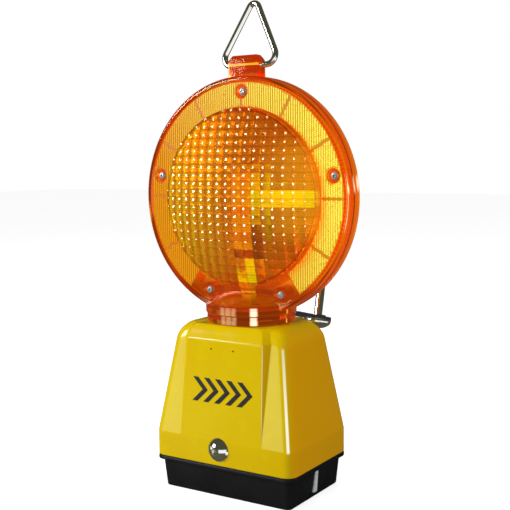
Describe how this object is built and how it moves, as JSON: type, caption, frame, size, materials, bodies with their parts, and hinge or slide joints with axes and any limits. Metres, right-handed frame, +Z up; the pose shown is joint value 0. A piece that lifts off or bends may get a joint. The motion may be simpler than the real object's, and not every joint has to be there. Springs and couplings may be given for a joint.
{
  "type": "barrier warning lamp",
  "caption": "Battery warning lamp for a road barrier: round amber double-sided head on a swivel neck, yellow cover, black battery tray, hanging bail and rear mounting bolt.",
  "frame": {"origin": "centre of the flat underside of the battery tray", "axes": "+Z up, front lens and lock towards -Y, mounting bolt towards +Y, +X to the right seen from the front"},
  "size_m": [0.2, 0.1913, 0.41],
  "materials": {
    "black_plastic": "moulded, fine satin grain",
    "seal_rubber": "soft closed-cell rubber",
    "bright_steel": "bright sheet steel",
    "zinc_steel": "zinc plated",
    "chrome_plate": "polished nickel-chrome plate",
    "battery_wrap": "printed wrap without lettering",
    "contact_brass": "bright",
    "yellow_plastic": "glossy moulded",
    "print_black": "printed",
    "board_green": "solder mask",
    "pale_plastic": "moulded",
    "sensor_plastic": "moulded",
    "lead_rubber": "cable sheath",
    "amber_plastic": "transparent amber, glossy",
    "amber_lens": "transparent amber, prismatic inside",
    "reflector_amber": "retroreflective pin pattern",
    "post_yellow": "moulded",
    "led_resin": "clear resin"
  },
  "bodies": {
    "base": {"battery_tray": "black_plastic", "tray_seal": "seal_rubber", "side_clips": "bright_steel", "lock_keeper": "zinc_steel", "keeper_rivets": "zinc_steel", "battery_case": "battery_wrap", "battery_lid": "black_plastic", "battery_springs": "contact_brass"},
    "housing": {"cover": "yellow_plastic", "front_decal": "print_black", "lock_bush": "zinc_steel", "mounting_strap": "zinc_steel", "strap_gasket": "seal_rubber", "swivel_turret": "black_plastic", "turret_nut": "black_plastic", "circuit_board": "board_green", "board_screws": "zinc_steel", "driver_parts": "print_black", "contact_carrier": "pale_plastic", "contact_plates": "contact_brass", "photocell": "sensor_plastic", "test_lamp": "sensor_plastic", "mode_switch": "print_black", "supply_lead": "lead_rubber"},
    "lock": {"lock_screw": "chrome_plate", "lock_cam": "zinc_steel", "cam_nut": "zinc_steel"},
    "switch_slide": {"mode_slider": "pale_plastic"},
    "bolt": {"mounting_bolt": "chrome_plate", "bolt_retainer": "zinc_steel"},
    "head": {"front_shell": "amber_plastic", "rear_shell": "amber_plastic", "front_lens": "amber_lens", "rear_lens": "amber_lens", "front_reflector": "reflector_amber", "rear_reflector": "reflector_amber", "head_seal": "seal_rubber", "head_screws": "zinc_steel", "screw_inserts": "contact_brass", "led_post": "post_yellow", "led_holder": "print_black", "led_boards": "pale_plastic", "front_leds": "led_resin", "rear_leds": "led_resin", "light_bar": "post_yellow", "head_lead": "lead_rubber"},
    "bail": {"bail": "chrome_plate"}
  },
  "joints": [
    {"name": "cover_lift", "type": "slide", "parent": "base", "child": "housing", "axis": [0, 0, 1], "range_m": [0, 0.11]},
    {"name": "lock_turn", "type": "hinge", "parent": "housing", "child": "lock", "pos_m": [-0.002, -0.0477, 0.0418], "axis": [0, -1, 0], "range_deg": [0, 90]},
    {"name": "mode_slide", "type": "slide", "parent": "housing", "child": "switch_slide", "axis": [1, 0, 0], "range_m": [0, 0.005]},
    {"name": "bolt_turn", "type": "hinge", "parent": "housing", "child": "bolt", "pos_m": [0, 0.1185, 0.12907], "axis": [0, 0.2334, 0.9724], "continuous": true},
    {"name": "head_swivel", "type": "hinge", "parent": "housing", "child": "head", "pos_m": [0, 0.002, 0.1495], "axis": [0, 0, 1], "range_deg": [-90, 90]},
    {"name": "bail_swing", "type": "hinge", "parent": "head", "child": "bail", "pos_m": [0, -0.0015, 0.356], "axis": [1, 0, 0], "range_deg": [-95, 115]}
  ]
}
